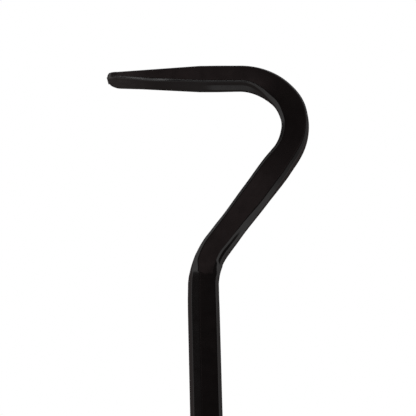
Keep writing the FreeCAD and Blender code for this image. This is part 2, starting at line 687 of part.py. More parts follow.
def make_clamp_lever():
    """Cast lever: toothed hub with an inner shoulder, and an arm that rises to a rounded end."""
    base = height_of(SPLINE_START) + size("side_gap")
    height = size("lever_hub_height")
    body = new_body("clamp_lever", STUD_PLACE + Vector(0, 0, base))
    hub = polygon(new_sketch(body, "lever_hub_section", "XZ_Plane"), [
        ("0", "0"), ("lever_hub_dia / 2 - lever_base_chamfer", "0"),
        ("lever_hub_dia / 2", "lever_base_chamfer"),
        ("lever_hub_dia / 2 - lever_draft", "lever_hub_height - lever_top_round"),
        ("lever_top_dia / 2", "lever_hub_height"), ("0", "lever_hub_height")])
    turn(body, "lever_hub", hub)

    arm = new_sketch(body, "lever_arm_section", "YZ_Plane")
    polygon(arm, [(f"lever_reach * {share}", f"lever_hub_height + ( {rise} )")
                  for share, rise in ARM_UNDERSIDE + ARM_TOP_SIDE])
    pad(body, "lever_arm", arm, "lever_width", both_sides=True)
    rounded_from = size("lever_reach") * ROUNDED_FROM
    round_edges(body, "lever_rounds", "Fillet", size("lever_round"),
                lambda edge: edge.BoundBox.YMin > rounded_from and edge.BoundBox.XLength < 0.01)

    top = new_sketch(body, "lever_counterbore_section", "XY_Plane", level(height + CLEAR_OF_TOP))
    circle(top, "0", "0", "screw_head_dia + 2 * head_gap")
    web_end = height_of(WEB_END) - base
    pocket(body, "lever_counterbore", top, f"{height + CLEAR_OF_TOP - web_end:.3f}")
    through = new_sketch(body, "lever_through_section", "XY_Plane", level(height))
    circle(through, "0", "0", "screw_dia + 2 * screw_gap")
    pocket(body, "lever_through", through)
    web_start = height_of(WEB_START) - base
    spline_top = height_of(SPLINE_END) - base
    cavity = new_sketch(body, "lever_cavity_section", "XY_Plane", level(web_start))
    circle(cavity, "0", "0", "spline_dia + 2 * cavity_gap")
    pocket(body, "lever_cavity", cavity, f"{web_start - spline_top:.3f}")
    teeth = star(new_sketch(body, "lever_teeth_section"), "( spline_dia / 2 + spline_gap )",
                 "spline_depth")
    pocket(body, "lever_teeth", teeth, f"{spline_top:.3f}", reverse=True)


# ---------------------------------------------------------------- build, check and write

make_hook_bar()
make_collar()
make_retainers()
make_hub()
make_bush()
make_cap()
make_cross_tube()
make_grips_and_plugs()
make_clamp_stud()
make_clamp_spring()
make_clamp_lever()
doc.recompute()

for item in doc.Objects:
    if "Invalid" in item.State or "Error" in item.State:
        raise RuntimeError(f"{item.Name} did not build: {item.State}")
os.makedirs("parts", exist_ok=True)
for body in SUBPARTS:
    shape = body.Shape
    if shape.isNull() or not shape.isValid():
        raise RuntimeError(f"{body.Label} has no valid shape")
    shape.exportStep(os.path.join("parts", f"{body.Label}.step"))
    print(f"{body.Label:16s} solids {len(shape.Solids)}  volume {shape.Volume:10.1f} mm3")
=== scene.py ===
"""Looks of the hooked panel lever: forged bar, clamp hub, grips and clamping lever.

Lengths in the constants are in millimetres and angles in degrees; MM turns them into metres.
"""

import math

import bmesh
import bpy
from mathutils import Euler, Matrix, Vector


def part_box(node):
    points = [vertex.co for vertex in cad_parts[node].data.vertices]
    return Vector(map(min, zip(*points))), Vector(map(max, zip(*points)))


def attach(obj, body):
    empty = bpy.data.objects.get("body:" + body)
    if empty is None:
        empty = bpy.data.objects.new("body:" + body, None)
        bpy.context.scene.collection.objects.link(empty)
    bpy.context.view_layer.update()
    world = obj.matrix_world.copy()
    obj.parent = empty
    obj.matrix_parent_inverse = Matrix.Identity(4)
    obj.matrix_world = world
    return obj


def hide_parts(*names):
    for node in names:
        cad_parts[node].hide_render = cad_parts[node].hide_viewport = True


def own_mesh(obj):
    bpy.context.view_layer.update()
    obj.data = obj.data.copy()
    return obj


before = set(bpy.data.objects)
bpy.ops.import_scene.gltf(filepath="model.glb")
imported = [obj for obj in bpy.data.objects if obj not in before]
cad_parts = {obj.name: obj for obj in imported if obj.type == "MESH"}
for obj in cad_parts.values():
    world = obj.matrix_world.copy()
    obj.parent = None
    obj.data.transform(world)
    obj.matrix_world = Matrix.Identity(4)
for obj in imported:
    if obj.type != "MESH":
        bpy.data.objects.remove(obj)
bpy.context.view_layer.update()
MM = 0.001


def lowest(name):
    """Lowest corner of a CAD node, in millimetres."""
    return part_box(name)[0] / MM


def highest(name):
    """Highest corner of a CAD node, in millimetres."""
    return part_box(name)[1] / MM


def centre(name):
    """Middle of a CAD node's box, in millimetres."""
    return (lowest(name) + highest(name)) / 2


# Places in the CAD model that the pieces are built on.
AXIS_Z = centre("cross_tube").z
SHOULDER = Vector((0.0, highest("stop_collar").y, AXIS_Z))
HUB_FRONT = Vector((0.0, highest("hub").y, AXIS_Z))
TUBE_CENTRE = Vector((0.0, centre("cross_tube").y, AXIS_Z))
STUD_AXIS = Vector((centre("clamp_stud").x, centre("clamp_stud").y, AXIS_Z))

# ---------------------------------------------------------------- camera

CAMERA_PLACE = Vector((7.3, 96.0, 612.2)) * MM
CAMERA_TURN = (12.42, 0.69, -1.445)
CAMERA_LENS = 103.6
SENSOR_WIDTH = 36.0
NEAREST_SEEN = 10.0


def make_camera():
    """Camera above the hook, leaning back towards the handle, at the photograph's angle."""
    data = bpy.data.cameras.new("camera")
    data.sensor_width = SENSOR_WIDTH
    data.lens = CAMERA_LENS
    data.clip_start = NEAREST_SEEN * MM
    camera = bpy.data.objects.new("camera", data)
    camera.location = CAMERA_PLACE
    camera.rotation_euler = Euler([math.radians(angle) for angle in CAMERA_TURN])
    bpy.context.collection.objects.link(camera)
    bpy.context.scene.camera = camera


# ---------------------------------------------------------------- materials

def new_material(name, colour, roughness, metallic=0.0):
    """Principled material with a plain colour, roughness and share of metal."""
    material = bpy.data.materials.new(name)
    material.use_nodes = True
    shader = material.node_tree.nodes["Principled BSDF"]
    shader.inputs["Base Color"].default_value = (*colour, 1)
    shader.inputs["Roughness"].default_value = roughness
    shader.inputs["Metallic"].default_value = metallic
    return material


def node(material, kind, inputs=None, **settings):
    """New node of a material, with its settings and its input values or links."""
    item = material.node_tree.nodes.new(kind)
    for key, value in settings.items():
        setattr(item, key, value)
    for key, value in (inputs or {}).items():
        if isinstance(value, bpy.types.NodeSocket):
            material.node_tree.links.new(value, item.inputs[key])
        else:
            item.inputs[key].default_value = value
    return item


def set_shader(material, socket, value):
    """Link a node's output to a socket of the material's shader."""
    shader = material.node_tree.nodes["Principled BSDF"]
    material.node_tree.links.new(value, shader.inputs[socket])


def place_of(material):
    """Position on the piece, in metres."""
    return node(material, "ShaderNodeTexCoord").outputs["Object"]


def grain(material, scale, detail=4.0, stretch=None):
    """Noise value whose pattern is about 1 / scale metres wide, stretched by a vector if given."""
    place = place_of(material)
    if stretch is not None:
        place = node(material, "ShaderNodeMapping", {"Vector": place, "Scale": stretch}).outputs[0]
    texture = node(material, "ShaderNodeTexNoise", {"Vector": place, "Scale": scale, "Detail": detail})
    return texture.outputs["Fac"]


def remap(material, value, low, high, start=0.3, stop=0.7):
    """Value from start to stop, by default a noise's usual range, carried to low to high."""
    item = node(material, "ShaderNodeMapRange", {"Value": value, "From Min": start, "From Max": stop,
                                                 "To Min": low, "To Max": high})
    return item.outputs["Result"]


def mix_colour(material, share, first, second):
    """Colour between two, each a colour or a socket."""
    item = node(material, "ShaderNodeMix", data_type="RGBA")
    for socket, value in ((item.inputs[0], share), (item.inputs[6], first), (item.inputs[7], second)):
        if isinstance(value, bpy.types.NodeSocket):
            material.node_tree.links.new(value, socket)
        elif isinstance(value, tuple):
            socket.default_value = (*value, 1)
        else:
            socket.default_value = value
    return item.outputs[2]


def bump(material, height, depth, strength, below=None):
    """Bump of a stated depth, over another bump if given."""
    inputs = {"Height": height, "Distance": depth * MM, "Strength": strength}
    if below is not None:
        inputs["Normal"] = below
    return node(material, "ShaderNodeBump", inputs).outputs["Normal"]


PAINT_COLOUR = (0.0036, 0.0031, 0.0031)
PAINT_DARK = (0.0032, 0.0028, 0.0029)
PAINT_LIGHT = (0.0042, 0.0034, 0.0034)
# Lighter grey towards the tip: rubbed paint and a painted sheen, in one colour.
RUBBED_SHEEN_COLOUR = (0.035, 0.032, 0.0305)
# Along X, where the tip is fully lightened (rubbed paint with a painted sheen) and where the paint is plain
# again.
RUBBED_SHEEN_X = -44.0
PLAIN_PAINT_X = -22.0
PEEL_DEPTH = 0.01
SWELL_DEPTH = 0.06


def black_paint():
    """Semi-gloss black paint over forged steel: slight mottling, orange peel, and a tip lightened in
    patches, partly rubbed paint and partly painted sheen.
    """
    material = new_material("black_paint", PAINT_COLOUR, roughness=0.24)
    mottle = remap(material, grain(material, scale=90.0, detail=5.0), 0.0, 1.0)
    paint = mix_colour(material, mottle, PAINT_DARK, PAINT_LIGHT)
    along = node(material, "ShaderNodeSeparateXYZ", {"Vector": place_of(material)}).outputs["X"]
    # Painted sheen: the paint turns lighter grey towards the tip, in noise patches; partly rubbed paint,
    # partly a painted reflection.
    rubbed = remap(material, along, 1.0, 0.0, RUBBED_SHEEN_X * MM, PLAIN_PAINT_X * MM)
    patches = remap(material, grain(material, scale=300.0, detail=6.0), low=0.5, high=1.0)
    share = node(material, "ShaderNodeMath", {0: rubbed, 1: patches}, operation="MULTIPLY").outputs[0]
    set_shader(material, "Base Color", mix_colour(material, share, paint, RUBBED_SHEEN_COLOUR))
    blotches = remap(material, grain(material, scale=240.0, detail=6.0), low=0.2, high=0.3)
    set_shader(material, "Roughness", blotches)
    peel = bump(material, grain(material, scale=900.0, detail=2.0), PEEL_DEPTH, strength=0.25)
    swell = grain(material, scale=120.0, detail=2.0)
    set_shader(material, "Normal", bump(material, swell, SWELL_DEPTH, strength=0.25, below=peel))
    return material


# How far a coat's roughness strays, and how much wider its coarse texture is than its fine one.
SMOOTHER = 0.06
ROUGHER = 0.08
COARSER = 6
# Tool marks in metal, and the share of its colour that is left where it is tarnished.
MARK_SCALE = 1600.0
MARK_DEPTH = 0.01
TARNISHED = 0.72


def textured_coat(name, dark, light, roughness, texture, depth):
    """Powder coat, rubber or moulded plastic: fine even texture and faint mottling."""
    material = new_material(name, dark, roughness)
    mottle = remap(material, grain(material, scale=55.0, detail=6.0), 0.0, 1.0)
    set_shader(material, "Base Color", mix_colour(material, mottle, dark, light))
    blotches = remap(material, grain(material, scale=130.0, detail=4.0),
                     low=roughness - SMOOTHER, high=roughness + ROUGHER)
    set_shader(material, "Roughness", blotches)
    coarse = bump(material, grain(material, texture / COARSER, detail=3.0), depth, strength=0.25)
    fine = grain(material, texture, detail=2.0)
    set_shader(material, "Normal", bump(material, fine, depth, strength=0.5, below=coarse))
    return material


def worn_metal(name, colour, roughness, marks):
    """Bare metal with fine tool marks, close together along the axis where marks is 1."""
    material = new_material(name, colour, roughness, metallic=1.0)
    lines = grain(material, MARK_SCALE, detail=3.0, stretch=marks)
    tarnish = remap(material, grain(material, scale=80.0, detail=6.0), 0.0, 1.0)
    darker = tuple(TARNISHED * part for part in colour)
    set_shader(material, "Base Color", mix_colour(material, tarnish, darker, colour))
    uneven = remap(material, lines, low=-0.05, high=0.06)
    rubbed = node(material, "ShaderNodeMath", {0: uneven, 1: roughness}, operation="ADD").outputs[0]
    set_shader(material, "Roughness", rubbed)
    set_shader(material, "Normal", bump(material, lines, MARK_DEPTH, strength=0.4))
    return material


# Marks of turning round an axis: close together along it, long across it.
ALONG_X = (1.0, 0.02, 0.02)
ALONG_Y = (0.02, 1.0, 0.02)
ALONG_Z = (0.02, 0.02, 1.0)


def make_materials():
    """Every material but the bar's, by the record's slot that it finishes."""
    return {
        "hub_paint": textured_coat("hub_powder_coat", (0.012, 0.011, 0.011), (0.019, 0.017, 0.017),
                                   roughness=0.42, texture=2600.0, depth=0.06),
        "lever_coat": textured_coat("lever_powder_coat", (0.018, 0.018, 0.018), (0.028, 0.027, 0.027),
                                    roughness=0.5, texture=3200.0, depth=0.08),
        "grip_rubber": textured_coat("grip_rubber", (0.016, 0.016, 0.017), (0.026, 0.025, 0.025),
                                     roughness=0.72, texture=2200.0, depth=0.06),
        "cap_plastic": textured_coat("cap_plastic", (0.022, 0.022, 0.023), (0.03, 0.03, 0.031),
                                     roughness=0.46, texture=4000.0, depth=0.03),
        "screw_black": textured_coat("black_oxide", (0.024, 0.024, 0.026), (0.034, 0.034, 0.037),
                                     roughness=0.34, texture=5000.0, depth=0.01),
        "turned_steel": worn_metal("turned_steel", (0.52, 0.52, 0.53), 0.3, ALONG_Y),
        "spring_steel": worn_metal("spring_steel", (0.3, 0.3, 0.31), 0.28, ALONG_Z),
        "bronze": worn_metal("turned_bronze", (0.6, 0.4, 0.19), 0.32, ALONG_Y),
        "plated_tube": worn_metal("satin_plate", (0.64, 0.65, 0.68), 0.2, ALONG_X),
    }


# ---------------------------------------------------------------- bar

SHANK_LENGTH = 408.0
# Where the straight shank ends and the lower bend starts.
BAR_FOOT = SHOULDER + Vector((0, SHANK_LENGTH, 0))
LOW_RADIUS, LOW_ANGLE = 36.5, 38.2
DIAGONAL_LENGTH = 57.5
RETURN_RADIUS_A, RETURN_ANGLE_A = 30.0, 28.0
RETURN_RADIUS_B, RETURN_ANGLE_B = 23.2, 56.5
RETURN_RADIUS_C, RETURN_ANGLE_C = 31.1, 42.7
ARM_LENGTH = 20.7
TAPER_LENGTH = 42.2
TIP_ROUND = 6.0

# Runs of the centreline from the shank's end to the tip: length, and turn with left positive.
RUNS = [
    (LOW_RADIUS * math.radians(LOW_ANGLE), -LOW_ANGLE),
    (DIAGONAL_LENGTH, 0.0),
    (RETURN_RADIUS_A * math.radians(RETURN_ANGLE_A), RETURN_ANGLE_A),
    (RETURN_RADIUS_B * math.radians(RETURN_ANGLE_B), RETURN_ANGLE_B),
    (RETURN_RADIUS_C * math.radians(RETURN_ANGLE_C), RETURN_ANGLE_C),
    (ARM_LENGTH + TAPER_LENGTH + TIP_ROUND, 0.0),
]
BEND_END = RUNS[0][0]
DIAGONAL_END = BEND_END + RUNS[1][0]
RETURN_MIDDLE = DIAGONAL_END + RUNS[2][0] + RUNS[3][0]
RETURN_END = RETURN_MIDDLE + RUNS[4][0]
ARM_END = RETURN_END + ARM_LENGTH
TAPER_END = ARM_END + TAPER_LENGTH
BAR_END = TAPER_END + TIP_ROUND

# The flats turn sharply at the crease, where the plain shank meets the forged hook.
CREASE = 7.5
CREASE_HALF = 0.8
# Sections of the bar: distance from the shank's end, twist, width, depth, width and fall of the top
# left chamfer, top right chamfer, share of the fold on the right, and share of the ledge's lean.
SECTIONS = [
    (-SHANK_LENGTH, 14.0, 14.6, 14.0, 3.3, 3.3, 2.4, 0.0, 0.0),
    (-12.0, 14.0, 14.3, 14.0, 3.3, 3.3, 2.4, 0.0, 0.0),
    (CREASE - CREASE_HALF, 14.0, 13.9, 14.0, 3.3, 3.3, 2.4, 0.0, 0.0),
    (CREASE + CREASE_HALF, 8.5, 14.4, 14.0, 2.9, 3.8, 1.9, 0.5, 0.0),
    (CREASE + 6.5, 4.5, 15.0, 14.0, 2.0, 2.3, 3.0, 0.5, 0.0),
    (CREASE + 9.5, 3.5, 14.5, 14.0, 1.7, 1.8, 4.0, 0.2, 0.7),
    (CREASE + 14.0, 2.5, 14.3, 14.0, 1.6, 1.6, 3.9, 0.0, 1.0),
    (BEND_END + 6.0, 2.5, 14.1, 14.0, 1.5, 1.5, 3.6, 0.0, 0.4),
    (BEND_END + 14.0, 2.5, 13.8, 14.0, 1.4, 1.3, 3.2, 0.0, 0.0),
    (BEND_END + 32.0, 1.5, 14.4, 14.0, 1.5, 1.3, 2.5, 0.0, 0.0),
    (DIAGONAL_END - 9.0, -3.5, 14.3, 14.0, 1.7, 1.2, 2.0, 0.0, 0.0),
    (DIAGONAL_END + 2.0, -5.0, 13.2, 14.0, 1.8, 1.3, 1.8, 0.0, 0.0),
    (DIAGONAL_END + 14.0, -6.4, 13.6, 13.5, 1.9, 1.7, 1.2, 0.0, 0.0),
    (DIAGONAL_END + 26.0, -7.3, 14.2, 13.2, 2.0, 2.1, 1.0, 0.0, 0.0),
    (RETURN_MIDDLE, -8.0, 13.2, 13.0, 2.2, 2.5, 0.9, 0.0, 0.0),
    (RETURN_END, 1.0, 10.8, 13.0, 2.65, 0.95, 0.5, 0.0, 0.0),
    (RETURN_END + 12.0, 1.0, 10.8, 13.6, 2.65, 0.95, 0.5, 0.0, 0.0),
    (ARM_END, 1.0, 10.6, 14.0, 2.55, 0.95, 0.5, 0.0, 0.0),
    (TAPER_END, 1.0, 3.2, 19.4, 0.9, 0.8, 0.5, 0.0, 0.0),
    (BAR_END, 1.0, 3.2, 19.4, 0.9, 0.8, 0.5, 0.0, 0.0),
]
# The top folds down on the right, from this share of the half width on and by this much.
FOLD_START = 0.45
FOLD_DROP = 1.0
# Ledge in the top right chamfer: how far down it starts, its width, and its slope where it leans.
LEDGE_START = 1.1
LEDGE_WIDTH = 1.3
LEDGE_SLOPE = 12.0
CHAMFER_SLOPE = 45.0
LOWER_CHAMFER = 2.1
# Most of the half width that a chamfer takes, and most of the chamfer that the ledge's start and
# its width take.
CHAMFER_SHARE = 0.8
LEDGE_START_SHARE = 0.4
LEDGE_WIDTH_SHARE = 0.5
# Points down the arm's inner side: setback where the forging leaves a hollow in it, setback where
# it only slopes, and fall from the side's upper edge. INNER_SIDE holds the share of each.
SIDE_POINTS = [(1.9, 1.9, 0.0), (1.7, 1.3, 4.0), (0.0, 0.7, 7.2)]
INNER_SIDE = [(RETURN_MIDDLE - 2.0, 0.0, 0.0), (RETURN_END - 4.0, 1.0, 0.0),
              (RETURN_END + 13.0, 1.0, 0.0), (ARM_END, 0.0, 1.0), (ARM_END + 28.0, 0.0, 0.0)]
# Rounding of the tip's upper and lower corner: reach along the bar and fall.
TIP_UPPER = (5.0, 6.0)
TIP_LOWER = (6.5, 14.0)
ARRIS_RADIUS = 0.9
ARRIS_STEPS = 5
# A rounded corner reaches at least this far, and at most this share of the sides next to it.
LEAST_REACH = 0.1
REACH_SHARE = 0.45
FACE_STEPS = 5
# Cross-sections: their spacing in the shank and the hook, those round the crease, those over the
# rounded tip, and how far short of the end the last one stays.
SHANK_STEP = 4.0
STATION_STEP = 0.8
CREASE_STATIONS = (-4.0, -3.0, -2.0, -1.2, -0.8, -0.4, 0.0, 0.4)
TIP_STATIONS = 16
LAST_GAP = 0.004

# Turned end of the bar behind the collar. Its ring groove has a front, a back and a radius, and
# its end face closes at a very small radius.
SPINDLE_RADIUS = 6.5
SPINDLE_LENGTH = 45.4
RING_GROOVE = (42.4, 43.4, 5.8)
SPINDLE_CHAMFER = 0.6
SPINDLE_SIDES = 64
POINT_RADIUS = 0.01


def heading_vector(heading):
    """Level unit vector at an angle in radians from X."""
    return Vector((math.cos(heading), math.sin(heading), 0.0))


def follow(run, point, heading, distance):
    """Point and heading some way along one run."""
    length, turn = run
    if turn == 0.0:
        return point + heading_vector(heading) * distance, heading
    angle = math.radians(turn) * distance / length
    radius = length / math.radians(turn)
    pivot = point + heading_vector(heading + math.pi / 2) * radius
    return pivot - heading_vector(heading + angle + math.pi / 2) * radius, heading + angle


def centreline(distance):
    """Point and heading of the bar's centreline at a distance from the shank's end."""
    point, heading = Vector((0, 0, 0)), math.pi / 2
    if distance <= 0:
        return Vector((0, distance, 0)), heading
    for run in RUNS:
        if distance <= run[0]:
            return follow(run, point, heading, distance)
        point, heading = follow(run, point, heading, run[0])
        distance -= run[0]
    return point, heading


def eased(share):
    """Share that starts and ends gently."""
    return share * share * (3 - 2 * share)


def blend(before, after, share):
    """Values between two lists, at a share of the way."""
    return [a + (b - a) * share for a, b in zip(before, after)]


def section_at(distance):
    """Section interpolated between the two nearest that are listed, straight in the taper."""
    for lower, upper in zip(SECTIONS, SECTIONS[1:]):
        if distance <= upper[0]:
            break
    share = (distance - lower[0]) / (upper[0] - lower[0])
    return blend(lower[1:], upper[1:], eased(share) if upper[0] < ARM_END else share)


def side_shares(distance):
    """Shares of the hollow and of the slope in the inner side at a distance."""
    for (start, *before), (stop, *after) in zip(INNER_SIDE, INNER_SIDE[1:]):
        if start <= distance <= stop:
            return blend(before, after, eased((distance - start) / (stop - start)))
    return 0.0, 0.0


def station_distances():
    """Distances of the bar's cross-sections, closer together in the hook and at its tip."""
    shank = [-SHANK_LENGTH + SHANK_STEP * k for k in range(round(SHANK_LENGTH / SHANK_STEP))]
    crease = [CREASE + step for step in CREASE_STATIONS]
    start = CREASE + CREASE_HALF
    count = round((TAPER_END - start) / STATION_STEP)
    hook = [start + (TAPER_END - start) * k / count for k in range(count)]
    tip = [TAPER_END + TIP_ROUND * math.sin(math.pi / 2 * k / TIP_STATIONS) for k in range(TIP_STATIONS)]
    return shank + crease + hook + tip + [BAR_END - LAST_GAP]


def rounded_off(distance, reach, fall):
    """How far a rounded corner at the bar's end has come in at a distance."""
    past = max(0.0, distance - (BAR_END - reach)) / reach
    return fall * (1 - math.sqrt(max(0.0, 1 - past ** 2)))


def outline_at(distance):
    """Points round the bar's section, anticlockwise as seen from the tip, and its twist."""
    twist, width, depth, left, left_fall, right, fold, lean = section_at(distance)
    half = width / 2
    edge = rounded_off(distance, half, half)
    half -= edge
    top = depth / 2 - rounded_off(distance, *TIP_UPPER) - edge
    bottom = depth / 2 - rounded_off(distance, *TIP_LOWER) - edge
    most = CHAMFER_SHARE * half
    left, right, lower = min(left, most), min(right, most), min(LOWER_CHAMFER, most)
    drop = FOLD_DROP * fold
    crest = Vector((half - right, top - drop))
    foot = Vector((half, top - drop - right))
    inner = crest.lerp(foot, min(LEDGE_START_SHARE, LEDGE_START / right))
    slope = math.radians(CHAMFER_SLOPE + (LEDGE_SLOPE - CHAMFER_SLOPE) * lean)
    ledge = min(LEDGE_WIDTH, LEDGE_WIDTH_SHARE * right)
    outer = inner + Vector((math.cos(slope), -math.sin(slope))) * ledge
    hollow, sloped = side_shares(distance)
    waist = [(hollow * deep + sloped * shallow - half, top - left_fall - fall)
             for deep, shallow, fall in SIDE_POINTS]
    corners = [foot, outer, inner, crest, (FOLD_START * half, top), (left - half, top), *waist,
               (-half, lower - bottom), (lower - half, -bottom), (half - lower, -bottom),
               (half, lower - bottom)]
    return rounded_outline(corners, ARRIS_RADIUS, ARRIS_STEPS, FACE_STEPS), twist


def rounded_outline(corners, radius, arris_steps, face_steps=1, closed=True):
    """Outline with rounded corners and evenly divided sides; the ends of an open one stay."""
    corners = [Vector(corner) for corner in corners]
    arcs = []
    for k, corner in enumerate(corners):
        if radius == 0 or not closed and k in (0, len(corners) - 1):
            arcs.append([corner])
            continue
        before = corner - corners[k - 1]
        after = corners[(k + 1) % len(corners)] - corner
        turn = before.angle(after, 0.0)
        reach = max(radius * math.tan(turn / 2), LEAST_REACH)
        reach = min(reach, REACH_SHARE * before.length, REACH_SHARE * after.length)
        start, stop = corner - before.normalized() * reach, corner + after.normalized() * reach
        arc = []
        for step in range(arris_steps):
            share = step / (arris_steps - 1)
            arc.append(start * (1 - share) ** 2 + corner * 2 * share * (1 - share) + stop * share ** 2)
        arcs.append(arc)
    points = []
    for k, arc in enumerate(arcs):
        if closed or k > 0:
            start = arcs[k - 1][-1]
            points += [start.lerp(arc[0], step / face_steps) for step in range(1, face_steps)]
        points += arc
    return points


def spindle_rings():
    """Rings of the turned end, from its chamfered end face to the collar's shoulder."""
    front, back, groove = RING_GROOVE
    crest = SPINDLE_RADIUS
    profile = [(SPINDLE_LENGTH, POINT_RADIUS), (SPINDLE_LENGTH, crest - SPINDLE_CHAMFER),
               (SPINDLE_LENGTH - SPINDLE_CHAMFER, crest), (back, crest), (back, groove),
               (front, groove), (front, crest), (0.0, crest)]
    return [(BAR_FOOT.y - SHANK_LENGTH - behind, radius) for behind, radius in profile]


def bridge(rings, closed=True):
    """Faces between each ring of vertex numbers and the next."""
    faces = []
    for lower, upper in zip(rings, rings[1:]):
        for k in range(len(lower) if closed else len(lower) - 1):
            after = (k + 1) % len(lower)
            faces.append((lower[k], lower[after], upper[after], upper[k]))
    return faces


def swept_rings(vertices):
    """Rings of the bar's cross-sections along its centreline, added to the vertices."""
    rings = []
    for distance in station_distances():
        point, heading = centreline(distance)
        outline, twist = outline_at(distance)
        turn = Matrix.Rotation(math.radians(twist), 3, heading_vector(heading))
        across = turn @ heading_vector(heading + math.pi / 2)
        upward = turn @ Vector((0, 0, 1))
        start = len(vertices)
        vertices += [(BAR_FOOT + point - across * x + upward * y) * MM for x, y in outline]
        rings.append(range(start, len(vertices)))
    return rings


def turned_rings(vertices):
    """Rings of the turned end, added to the vertices."""
    rings = []
    for y, radius in spindle_rings():
        start = len(vertices)
        for k in range(SPINDLE_SIDES):
            angle = 2 * math.pi * k / SPINDLE_SIDES
            x, fall = radius * math.cos(angle), radius * math.sin(angle)
            vertices.append(Vector((x, y, BAR_FOOT.z - fall)) * MM)
        rings.append(range(start, len(vertices)))
    return rings


def make_bar():
    """Forged bar as one skin swept along its centreline, and its turned end."""
    vertices, faces = [], []
    for make_rings in (swept_rings, turned_rings):
        rings = make_rings(vertices)
        faces += bridge(rings)
        faces.append(tuple(reversed(rings[0])))
        faces.append(tuple(rings[-1]))
    bar = new_piece("forged_bar", vertices, faces)
    finish_piece(bar, "lever_bar", black_paint(), ["hook_bar"])


# ---------------------------------------------------------------- pieces

NORMAL_WEIGHT = 60
SMOOTH_FACTOR = 0.5


def new_piece(name, vertices, faces):
    """Mesh object with its faces turned outwards."""
    mesh = bpy.data.meshes.new(name)
    mesh.from_pydata([tuple(v) for v in vertices], [], faces)
    mesh.validate()
    work = bmesh.new()
    work.from_mesh(mesh)
    bmesh.ops.recalc_face_normals(work, faces=work.faces)
    work.to_mesh(mesh)
    work.free()
    piece = bpy.data.objects.new(name, mesh)
    bpy.context.collection.objects.link(piece)
    mesh.shade_smooth()
    return piece


def finish_piece(piece, body, material, replaced=()):
    """Give a piece its material, weighted normals, body and slot, and hide the CAD nodes it stands for."""
    piece.data.materials.clear()
    piece.data.materials.append(material)
    piece.data.shade_smooth()
    normals = piece.modifiers.new("normals", "WEIGHTED_NORMAL")
    normals.weight = NORMAL_WEIGHT
    normals.keep_sharp = True
    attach(piece, body)
    if replaced:
        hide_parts(*replaced)


def settle(piece):
    """Apply the modifiers of a piece to its mesh."""
    graph = bpy.context.evaluated_depsgraph_get()
    mesh = bpy.data.meshes.new_from_object(piece.evaluated_get(graph))
    piece.modifiers.clear()
    bare = piece.data
    piece.data = mesh
    bpy.data.meshes.remove(bare)
    mesh.name = piece.name


def carve(piece, tool, operation="DIFFERENCE"):
    """Cut a tool's shape out of a piece, or join it on, and remove the tool."""
    modifier = piece.modifiers.new("carve", "BOOLEAN")
    modifier.operation = operation
    modifier.object = tool
    modifier.solver = "EXACT"
    settle(piece)
    bpy.data.objects.remove(tool)


def soften(piece, voxel, rounds, kept):
    """Melt the edges of a casting: even mesh, smoothing, then fewer faces where it is flat."""
    remesh = piece.modifiers.new("remesh", "REMESH")
    remesh.mode = "VOXEL"
    remesh.voxel_size = voxel * MM
    smooth = piece.modifiers.new("smooth", "SMOOTH")
    smooth.factor = SMOOTH_FACTOR
    smooth.iterations = rounds
    fewer = piece.modifiers.new("fewer", "DECIMATE")
    fewer.ratio = kept
    settle(piece)


def axis_point(axis, radius, along, angle):
    """Point round an axis through the origin."""
    first, second = radius * math.cos(angle), radius * math.sin(angle)
    places = {"X": (along, first, second), "Y": (first, along, second), "Z": (first, second, along)}
    return Vector(places[axis])


def lathe(name, origin, axis, outline, radius=0.4, sides=96, face_steps=1, ripple=None):
    """Round piece from an outline of radius and distance along the axis.

    The outline closes on itself, or starts and ends on the axis. Its corners are rounded by radius.
    ripple gives the extra radius at a point of the outline and an angle.
    """
    solid = outline[0][0] == 0
    points = rounded_outline(outline, radius, ARRIS_STEPS, face_steps, closed=not solid)
    vertices, rings, faces = [], [], []
    for point in points:
        start = len(vertices)
        if point.x == 0:
            vertices.append((origin + axis_point(axis, 0, point.y, 0)) * MM)
        else:
            for k in range(sides):
                angle = 2 * math.pi * k / sides
                extra = ripple(point, angle) if ripple else 0.0
                vertices.append((origin + axis_point(axis, point.x + extra, point.y, angle)) * MM)
        rings.append(range(start, len(vertices)))
    if solid:
        for pole, rim in ((rings[0][0], rings[1]), (rings[-1][0], rings[-2])):
            faces += [(pole, rim[k], rim[(k + 1) % sides]) for k in range(sides)]
        faces += bridge(rings[1:-1])
    else:
        faces += bridge(rings + [rings[0]])
    return new_piece(name, vertices, faces)


def rod(origin, axis, radius, start, stop, sides=64):
    """Round tool, or one with fewer sides, that cuts a bore."""
    outline = [(0, start), (radius, start), (radius, stop), (0, stop)]
    return lathe("tool", origin, axis, outline, radius=0, sides=sides)


def prism(origin, outline, bottom, top):
    """Upright block of an outline in X and Y."""
    count = len(outline)
    vertices = [(origin + Vector((x, y, z))) * MM for z in (bottom, top) for x, y in outline]
    faces = bridge([range(count), range(count, 2 * count)])
    faces += [tuple(range(count)), tuple(range(count, 2 * count))]
    return new_piece("tool", vertices, faces)


# ---------------------------------------------------------------- collar and washers

COLLAR_LENGTH = 8.0
COLLAR_RADIUS = 13.0
COLLAR_CHAMFER = 2.0
COLLAR_PIN_HOLE = 1.5
PIN_HOLE_SIDES = 32
# Thrust washer: bore, radius, and its two faces from the hub's front.
THRUST_BORE = 6.55
THRUST_RADIUS = 12.0
THRUST_BACK = 1.5
THRUST_FRONT = 3.0
WASHER_EDGE = 0.25
# Half length of a tool that cuts right through a piece.
THROUGH = 20.0


